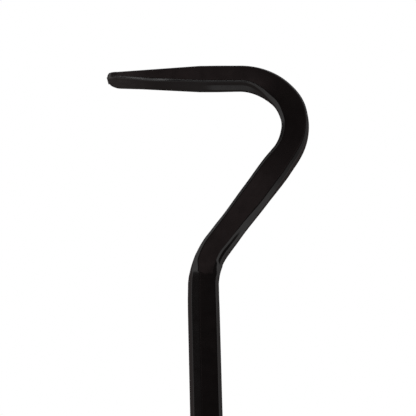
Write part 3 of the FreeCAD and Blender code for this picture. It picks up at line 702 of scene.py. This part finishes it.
def make_collar(finishes):
    """Stop collar with a hole for its pin, and the thrust washer between it and the hub."""
    collar = lathe("collar", SHOULDER, "Y", [
        (SPINDLE_RADIUS, 0), (COLLAR_RADIUS - COLLAR_CHAMFER, 0), (COLLAR_RADIUS, -COLLAR_CHAMFER),
        (COLLAR_RADIUS, -COLLAR_LENGTH), (SPINDLE_RADIUS, -COLLAR_LENGTH)])
    pin_place = SHOULDER + Vector((0, -COLLAR_LENGTH / 2, 0))
    carve(collar, rod(pin_place, "Z", COLLAR_PIN_HOLE, -THROUGH, THROUGH, PIN_HOLE_SIDES))
    finish_piece(collar, "lever_bar", finishes["turned_steel"], ["stop_collar"])
    washer = lathe("thrust_ring", HUB_FRONT, "Y", [
        (THRUST_BORE, THRUST_BACK), (THRUST_RADIUS, THRUST_BACK), (THRUST_RADIUS, THRUST_FRONT),
        (THRUST_BORE, THRUST_FRONT)], WASHER_EDGE)
    finish_piece(washer, "handle", finishes["bronze"], ["thrust_washer"])


# ---------------------------------------------------------------- hub

HUB_RADIUS = 16.0
HUB_LENGTH = 66.0
HUB_CHAMFER = 1.5
BUSH_RADIUS = 8.5
BUSH_LENGTH = 30.0
REAR_BORE = 10.5
EAR_SETBACK = 15.0
EAR_RADIUS = 11.0
EAR_HALF_HEIGHT = 11.0
EAR_ROOT = 10.5
EAR_STEP = 6
# Slit of the ears: half its height, how far it is cut sideways, and where the tool starts.
SLIT_HALF = 1.0
SLIT_REACH = 60.0
SLIT_FRONT = 1.0
STUD_HOLE = 4.4
TUBE_RADIUS = 11.0
TUBE_PIN_HOLE = 2.0
# How the casting's edges are melted: size of the even mesh, rounds, and share of faces kept.
HUB_VOXEL = 0.5
HUB_ROUNDS = 6
HUB_KEPT = 0.4
# Rear cap: its rim, its plug in the bore, its face, and the disc sunk in the face.
CAP_RADIUS = 13.2
CAP_THICK = 2.0
CAP_PLUG = 2.5
CAP_PLUG_GAP = 0.1
CAP_FACE = 11.0
CAP_DISC = 7.8
CAP_DISC_FLOOR = 7.0
CAP_DISC_DEPTH = 0.7
CAP_EDGE = 0.6


def make_hub(finishes):
    """Cast clamp hub: barrel, split ears for the stud, and the cross bore for the tube."""
    hub = lathe("clamp_hub", HUB_FRONT, "Y", [
        (BUSH_RADIUS, 0), (HUB_RADIUS - HUB_CHAMFER, 0), (HUB_RADIUS, -HUB_CHAMFER),
        (HUB_RADIUS, HUB_CHAMFER - HUB_LENGTH), (HUB_RADIUS - HUB_CHAMFER, -HUB_LENGTH),
        (REAR_BORE, -HUB_LENGTH), (REAR_BORE, -BUSH_LENGTH), (BUSH_RADIUS, -BUSH_LENGTH)], 0)
    reach = STUD_AXIS.x
    arc = [math.radians(angle) for angle in range(-90, 91, EAR_STEP)]
    ear = [(reach + EAR_RADIUS * math.cos(angle), EAR_RADIUS * math.sin(angle)) for angle in arc]
    ear += [(EAR_ROOT, EAR_RADIUS), (EAR_ROOT, -EAR_RADIUS)]
    ear_place = HUB_FRONT - Vector((0, EAR_SETBACK, 0))
    carve(hub, prism(ear_place, ear, -EAR_HALF_HEIGHT, EAR_HALF_HEIGHT), "UNION")
    slit = [(0, SLIT_FRONT), (SLIT_REACH, SLIT_FRONT), (SLIT_REACH, -BUSH_LENGTH), (0, -BUSH_LENGTH)]
    carve(hub, prism(HUB_FRONT, slit, -SLIT_HALF, SLIT_HALF))
    carve(hub, rod(STUD_AXIS, "Z", STUD_HOLE, -THROUGH, THROUGH))
    carve(hub, rod(TUBE_CENTRE, "X", TUBE_RADIUS, -THROUGH, THROUGH))
    carve(hub, rod(TUBE_CENTRE, "Z", TUBE_PIN_HOLE, -THROUGH, THROUGH))
    soften(hub, HUB_VOXEL, HUB_ROUNDS, HUB_KEPT)
    finish_piece(hub, "handle", finishes["hub_paint"], ["hub"])
    face = -HUB_LENGTH - CAP_THICK
    floor = face + CAP_DISC_DEPTH
    inside = CAP_PLUG - HUB_LENGTH
    cap = lathe("rear_cap", HUB_FRONT, "Y", [
        (0, floor), (CAP_DISC_FLOOR, floor), (CAP_DISC, face), (CAP_FACE, face),
        (CAP_RADIUS, -HUB_LENGTH), (REAR_BORE, -HUB_LENGTH), (REAR_BORE - CAP_PLUG_GAP, inside),
        (0, inside)], CAP_EDGE)
    finish_piece(cap, "handle", finishes["cap_plastic"], ["hub_cap"])


# ---------------------------------------------------------------- cross tube and grips

TUBE_HALF = 122.0
TUBE_WALL = 2.0
TUBE_EDGE = 0.3
TUBE_BORE = TUBE_RADIUS - TUBE_WALL
# Grip: its collar, then bands with grooves between them, and how far before the tube's end the
# bands stop and the end starts to round.
GRIP_START = 25.0
GRIP_RADIUS = 16.0
GRIP_EDGE = 0.5
COLLAR_CORNER = 1.2
COLLAR_FALL = 4.5
COLLAR_END = 6.5
COLLAR_FOOT = 14.7
BANDS_START = 8.0
BANDS_TAIL = 6.0
GRIP_BAND = 14.9
GRIP_WAIST = 13.6
GRIP_BANDS = 7
GRIP_END = 3.0
GRIP_END_RADIUS = 13.1
# A band falls from its crown to each edge. The crown and the groove's start are shares of the
# pitch; the groove's floor and far edge are measured from its start.
GROOVE_START = 0.72
CROWN_LEAD = 0.4
CROWN_DROP = 0.15
GROOVE_FLOOR = (1.0, 2.2)
GROOVE_WIDTH = 3.2
# Lengthwise ribs: how deep the valleys are, the radii between which they run, and their end.
GRIP_RIBS = 40
RIB_DEPTH = 0.3
RIB_RADII = (14.6, 15.0)
RIBS_TAIL = 4.0
STEPS_PER_RIB = 6
# Plug: its head with a rounded face, the disc sunk in it, and the tapered stem in the tube.
PLUG_RADIUS = 13.5
PLUG_THICK = 4.0
PLUG_FACE = 9.9
PLUG_SHOULDER = (12.9, 2.4)
PLUG_RIM = 1.0
PLUG_STEM = 14.0
PLUG_STEM_END = 8.4
PLUG_DISC = 7.8
PLUG_DISC_FLOOR = 7.0
PLUG_FLOOR = 3.4
PLUG_EDGE = 0.6


def grip_outline():
    """Half section of a grip: collar, crowned bands with grooves between them, rounded end."""
    first = GRIP_START + BANDS_START
    pitch = (TUBE_HALF - BANDS_TAIL - first) / GRIP_BANDS
    outline = [(TUBE_RADIUS, GRIP_START), (GRIP_RADIUS - COLLAR_CORNER, GRIP_START),
               (GRIP_RADIUS, GRIP_START + COLLAR_CORNER), (GRIP_RADIUS, GRIP_START + COLLAR_FALL),
               (COLLAR_FOOT, GRIP_START + COLLAR_END)]
    near, far = GROOVE_FLOOR
    for k in range(GRIP_BANDS):
        groove = first + pitch * (k + GROOVE_START)
        outline += [(GRIP_BAND, groove - CROWN_LEAD * pitch), (GRIP_BAND - CROWN_DROP, groove),
                    (GRIP_WAIST, groove + near), (GRIP_WAIST, groove + far),
                    (GRIP_BAND - CROWN_DROP, groove + GROOVE_WIDTH)]
    outline += [(GRIP_BAND, TUBE_HALF - GRIP_END), (GRIP_END_RADIUS, TUBE_HALF), (TUBE_RADIUS, TUBE_HALF)]
    return outline


def rib_ripple(point, angle):
    """Shallow lengthwise valleys in the bands of a grip."""
    least, most = RIB_RADII
    if not least < point.x < most or abs(point.y) > TUBE_HALF - RIBS_TAIL:
        return 0.0
    return -RIB_DEPTH * max(0.0, math.cos(GRIP_RIBS * angle)) ** 2


def mirrored(outline, side):
    """Outline for the tube's right half, or for its left half where side is -1."""
    return [(radius, side * along) for radius, along in outline]


def plug_outline():
    """Half section of a plug: sunk disc, rounded head, and the tapered stem in the tube."""
    face, floor, foot = TUBE_HALF + PLUG_THICK, TUBE_HALF + PLUG_FLOOR, TUBE_HALF - PLUG_STEM
    shoulder, rise = PLUG_SHOULDER
    return [(0, floor), (PLUG_DISC_FLOOR, floor), (PLUG_DISC, face), (PLUG_FACE, face),
            (shoulder, TUBE_HALF + rise), (PLUG_RADIUS, TUBE_HALF + PLUG_RIM), (PLUG_RADIUS, TUBE_HALF),
            (TUBE_BORE, TUBE_HALF), (PLUG_STEM_END, foot), (0, foot)]


def make_tube_and_grips(finishes):
    """Plated cross tube with a rubber grip and a plastic plug on each half."""
    tube = lathe("handle_tube", TUBE_CENTRE, "X", [
        (TUBE_BORE, -TUBE_HALF), (TUBE_RADIUS, -TUBE_HALF), (TUBE_RADIUS, TUBE_HALF),
        (TUBE_BORE, TUBE_HALF)], TUBE_EDGE)
    finish_piece(tube, "handle", finishes["plated_tube"], ["cross_tube"])
    for side, name in ((-1, "left"), (1, "right")):
        grip = lathe(f"rubber_grip_{name}", TUBE_CENTRE, "X", mirrored(grip_outline(), side), GRIP_EDGE,
                     sides=GRIP_RIBS * STEPS_PER_RIB, face_steps=2, ripple=rib_ripple)
        finish_piece(grip, "handle", finishes["grip_rubber"], [f"grip_{name}"])
        end = lathe(f"tube_plug_{name}", TUBE_CENTRE, "X", mirrored(plug_outline(), side), PLUG_EDGE)
        finish_piece(end, "handle", finishes["cap_plastic"], [f"end_plug_{name}"])


# ---------------------------------------------------------------- clamping lever

WASHER_THICK = 1.6
WASHER_RADIUS = 8.5
WASHER_BORE = 4.05
SCREW_RADIUS = 2.5
# Radius and height of the screw's head.
SCREW_HEAD = (4.7, 3.0)
SOCKET_RADIUS = 2.2
SOCKET_DEPTH = 2.0
SOCKET_SIDES = 6
# Boss of the clamping lever: foot, chamfer, draft and rounded top.
LEVER_HEIGHT = 21.0
LEVER_FOOT = 9.5
LEVER_CHAMFER = 1.0
LEVER_SHOULDER = 8.9
LEVER_TOP_ROUND = 2.0
LEVER_TOP = 7.3
LEVER_VOXEL = 0.45
LEVER_ROUNDS = 8
LEVER_KEPT = 0.5
# Its counterbore's floor, the play round screw and head, and the cavity over the stud's teeth.
COUNTERBORE_FLOOR = 8.8
HEAD_PLAY = 0.6
SCREW_PLAY = 0.4
CAVITY_RADIUS = 6.15
CAVITY_TOP = 6.1
CUT_BELOW = -5.0
CUT_ABOVE = 40.0
# Arm of the clamping lever: distance from the stud, height of its middle, width and thickness.
LEVER_ARM = [(0, 14.9, 12.0, 10.6), (11, 15.2, 11.4, 10.2), (22, 17.6, 9.4, 8.6),
             (33, 21.2, 9.4, 8.2), (43, 24.2, 11.0, 9.2), (50, 25.6, 11.8, 9.8), (52, 26.0, 11.9, 9.8)]
# Length and steps of its rounded end, which goes on in the direction of the last few stations.
LEVER_TIP = 5.9
TIP_STEPS = 8
LAST_STATIONS = 3
LAST_SWELL = 0.05
ARM_STEPS = 6
ARM_SIDES = 32
ARM_FULLNESS = 0.75


def spline(keys, per_span):
    """Smooth curve through a list of points of any number of values."""
    curve = []
    for k in range(len(keys) - 1):
        before, start, stop = keys[max(k - 1, 0)], keys[k], keys[k + 1]
        after = keys[min(k + 2, len(keys) - 1)]
        for step in range(per_span):
            t = step / per_span
            curve.append([0.5 * (2 * b + (c - a) * t + (2 * a - 5 * b + 4 * c - d) * t ** 2
                                 + (3 * b - a - 3 * c + d) * t ** 3)
                          for a, b, c, d in zip(before, start, stop, after)])
    return curve + [list(keys[-1])]


def rounded_axis(value):
    """Cosine or sine turned into that of a fuller, squarer oval."""
    return math.copysign(abs(value) ** ARM_FULLNESS, value)


def lever_arm(place):
    """Arm that rises from the hub of the clamping lever to a rounded end."""
    stations = spline(LEVER_ARM, ARM_STEPS)
    along, middle, width, thick = stations[-1]
    earlier = stations[-1 - LAST_STATIONS]
    rise = (middle - earlier[1]) / (along - earlier[0])
    for k in range(1, TIP_STEPS + 1):
        share = math.sin(math.pi / 2 * k / TIP_STEPS)
        swell = math.sqrt(max(0.0, 1 - share ** 2)) if k < TIP_STEPS else LAST_SWELL
        stations.append([along + LEVER_TIP * share, middle + LEVER_TIP * share * rise,
                         width * swell, thick * swell])
    vertices, rings = [], []
    for along, middle, width, thick in stations:
        start = len(vertices)
        for k in range(ARM_SIDES):
            angle = 2 * math.pi * k / ARM_SIDES
            x = width / 2 * rounded_axis(math.cos(angle))
            z = middle + thick / 2 * rounded_axis(math.sin(angle))
            vertices.append((place + Vector((x, along, z))) * MM)
        rings.append(range(start, len(vertices)))
    return new_piece("tool", vertices, bridge(rings) + [tuple(rings[0]), tuple(rings[-1])])


def make_clamp(finishes):
    """Washer, screw and cast lever of the clamp."""
    seat = EAR_HALF_HEIGHT
    washer = lathe("ear_washer", STUD_AXIS, "Z", [
        (WASHER_BORE, seat), (WASHER_RADIUS, seat), (WASHER_RADIUS, seat + WASHER_THICK),
        (WASHER_BORE, seat + WASHER_THICK)], WASHER_EDGE)
    finish_piece(washer, "handle", finishes["turned_steel"], ["clamp_washer"])

    bottom, top = lowest("clamp_screw").z - AXIS_Z, highest("clamp_screw").z - AXIS_Z
    head, thick = SCREW_HEAD
    screw = lathe("cap_screw", STUD_AXIS, "Z", [
        (0, bottom), (SCREW_RADIUS, bottom), (SCREW_RADIUS, top - thick), (head, top - thick),
        (head, top), (0, top)], 0.4)
    socket = rod(STUD_AXIS, "Z", SOCKET_RADIUS, top - SOCKET_DEPTH, top + SOCKET_DEPTH, SOCKET_SIDES)
    carve(screw, socket)
    finish_piece(screw, "clamp_bolt", finishes["screw_black"], ["clamp_screw"])

    place = Vector((STUD_AXIS.x, STUD_AXIS.y, lowest("clamp_lever").z))
    lever = lathe("cast_lever", place, "Z", [
        (0, 0), (LEVER_FOOT, 0), (LEVER_FOOT + LEVER_CHAMFER, LEVER_CHAMFER),
        (LEVER_SHOULDER, LEVER_HEIGHT - LEVER_TOP_ROUND), (LEVER_TOP, LEVER_HEIGHT),
        (0, LEVER_HEIGHT)], 0)
    carve(lever, lever_arm(place), "UNION")
    carve(lever, rod(place, "Z", head + HEAD_PLAY, COUNTERBORE_FLOOR, CUT_ABOVE))
    carve(lever, rod(place, "Z", SCREW_RADIUS + SCREW_PLAY, CUT_BELOW, CUT_ABOVE))
    carve(lever, rod(place, "Z", CAVITY_RADIUS, CUT_BELOW, CAVITY_TOP))
    soften(lever, LEVER_VOXEL, LEVER_ROUNDS, LEVER_KEPT)
    finish_piece(lever, "clamp_arm", finishes["lever_coat"], ["clamp_lever"])


# Spring: radius of the coil and of the wire, all its turns, those that lie flat at each end, steps
# in a turn and round the wire, and heights of its ends over the handle's axis.
SPRING_RADIUS = 3.3
SPRING_WIRE = 0.38
SPRING_TURNS = 4.0
END_TURNS = 0.7
SPRING_STEPS = 24
WIRE_STEPS = 4
SPRING_BOTTOM = 24.2
SPRING_TOP = 30.8


def make_spring(finishes):
    """Coil spring with closed ends round the stud's axis, carried with the clamp screw."""
    route = bpy.data.curves.new("spring_route", "CURVE")
    route.dimensions = "3D"
    route.bevel_depth = SPRING_WIRE * MM
    route.bevel_resolution = WIRE_STEPS
    route.use_fill_caps = True
    line = route.splines.new("NURBS")
    count = round(SPRING_TURNS * SPRING_STEPS)
    line.points.add(count)
    low, high = SPRING_BOTTOM + SPRING_WIRE, SPRING_TOP - SPRING_WIRE
    for k in range(count + 1):
        turns = k / SPRING_STEPS
        share = min(1.0, max(0.0, (turns - END_TURNS) / (SPRING_TURNS - 2 * END_TURNS)))
        angle = 2 * math.pi * turns
        point = (STUD_AXIS + axis_point("Z", SPRING_RADIUS, low + (high - low) * share, angle)) * MM
        line.points[k].co = (*point, 1.0)
    line.order_u = 3
    line.use_endpoint_u = True
    shaper = bpy.data.objects.new("spring_route", route)
    bpy.context.collection.objects.link(shaper)
    graph = bpy.context.evaluated_depsgraph_get()
    mesh = bpy.data.meshes.new_from_object(shaper.evaluated_get(graph))
    bpy.data.objects.remove(shaper)
    spring = bpy.data.objects.new("spring_coil", mesh)
    bpy.context.collection.objects.link(spring)
    spring.data.materials.clear()
    spring.data.materials.append(finishes["spring_steel"])
    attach(spring, "clamp_bolt")
    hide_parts("clamp_spring")
    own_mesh(spring)


# CAD nodes that are shown as they are, and the slot whose finish they get.
BARE_NODES = {"collar_pin": "spring_steel", "rear_washer": "turned_steel", "retaining_ring": "spring_steel",
              "hub_bush": "bronze", "tube_pin": "spring_steel", "clamp_stud": "turned_steel"}


def finish_nodes(finishes):
    """Give the CAD nodes that show as they are their materials."""
    for name, slot in BARE_NODES.items():
        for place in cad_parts[name].material_slots:
            place.material = finishes[slot]


# ---------------------------------------------------------------- stage

# Lengths of the stage are in metres.
FLOOR_SIZE = 12.0
DOME_RADIUS = 5.0
DOME_SIDES = 64

# Brightness of the studio by height: sine of the elevation, strength and colour.
STUDIO = [
    (-1.0, 0.03, (1.0, 0.80, 0.78)),
    (-0.92, 0.06, (1.0, 0.82, 0.80)),
    (-0.47, 0.26, (1.0, 0.92, 0.90)),
    (-0.10, 0.78, (1.0, 0.98, 0.98)),
    (0.08, 0.78, (1.0, 0.98, 0.98)),
    (0.28, 0.12, (1.0, 0.90, 0.90)),
    (0.50, 0.07, (1.0, 0.82, 0.80)),
    (1.0, 0.05, (1.0, 0.80, 0.78)),
]

# Flat lights: name, place, size, radiance, colour, and whether the tool reflects them.
WHITE = (1.0, 1.0, 1.0)
SOFTBOXES = [
    ("ceiling", (0.44, 0.85, 2.5), (1.1, 1.1), 0.30, (1.0, 0.75, 0.75), True),
    ("window", (-0.3, -1.7, 2.0), (2.6, 0.45), 3.2, WHITE, True),
    ("fill_left", (-1.6, -1.2, 1.9), (1.2, 1.2), 4.0, WHITE, False),
    ("fill_right", (1.8, 1.4, 1.4), (1.2, 1.2), 2.0, WHITE, False),
]


def make_backdrop():
    """Plain white floor and dome. Only the camera sees them, so the dark paint stays dark."""
    material = bpy.data.materials.new("studio_white")
    material.use_nodes = True
    material.node_tree.nodes.clear()
    material.cycles.emission_sampling = "NONE"
    glow = node(material, "ShaderNodeEmission", {"Color": (*WHITE, 1), "Strength": 1.0})
    output = node(material, "ShaderNodeOutputMaterial")
    material.node_tree.links.new(glow.outputs[0], output.inputs["Surface"])
    bpy.ops.mesh.primitive_plane_add(size=FLOOR_SIZE, location=(0, 0, 0))
    floor = bpy.context.object
    floor.name = "floor"
    bpy.ops.mesh.primitive_uv_sphere_add(radius=DOME_RADIUS, segments=DOME_SIDES, ring_count=DOME_SIDES // 2)
    dome = bpy.context.object
    dome.name = "dome"
    for stage in (floor, dome):
        stage.data.materials.append(material)
        stage.visible_diffuse = False
        stage.visible_glossy = False
        stage.visible_transmission = False
        stage.visible_shadow = False


def make_world():
    """Studio that the tool reflects: dim, with a bright band at the horizon."""
    world = bpy.data.worlds.new("studio")
    bpy.context.scene.world = world
    world.use_nodes = True
    place = node(world, "ShaderNodeTexCoord").outputs["Generated"]
    height = node(world, "ShaderNodeSeparateXYZ", {0: place}).outputs["Z"]
    ramp = node(world, "ShaderNodeValToRGB", {0: remap(world, height, 0.0, 1.0, -1.0, 1.0)})
    bands = ramp.color_ramp.elements
    for sine, *_ in STUDIO[len(bands):]:
        bands.new((sine + 1) / 2)
    for band, (sine, strength, colour) in zip(bands, STUDIO):
        band.position = (sine + 1) / 2
        band.color = (*(strength * part for part in colour), 1)
    world.node_tree.links.new(ramp.outputs[0], world.node_tree.nodes["Background"].inputs["Color"])


def make_softbox(name, place, size, radiance, colour, glossy):
    """Flat light that faces the middle of the tool, as bright as stated where it is seen."""
    data = bpy.data.lights.new(name, "AREA")
    data.shape = "RECTANGLE"
    data.size, data.size_y = size
    data.color = colour
    data.energy = radiance * math.pi * size[0] * size[1]
    light = bpy.data.objects.new(name, data)
    light.location = place
    light.rotation_euler = (-Vector(place)).to_track_quat("-Z", "Y").to_euler()
    light.visible_glossy = glossy
    bpy.context.collection.objects.link(light)


def make_stage():
    """Backdrop, studio and flat lights."""
    make_backdrop()
    make_world()
    for softbox in SOFTBOXES:
        make_softbox(*softbox)


make_camera()
make_stage()
make_bar()
finishes = make_materials()
make_collar(finishes)
make_hub(finishes)
make_tube_and_grips(finishes)
make_clamp(finishes)
make_spring(finishes)
finish_nodes(finishes)
bpy.context.scene.view_settings.view_transform = "Standard"
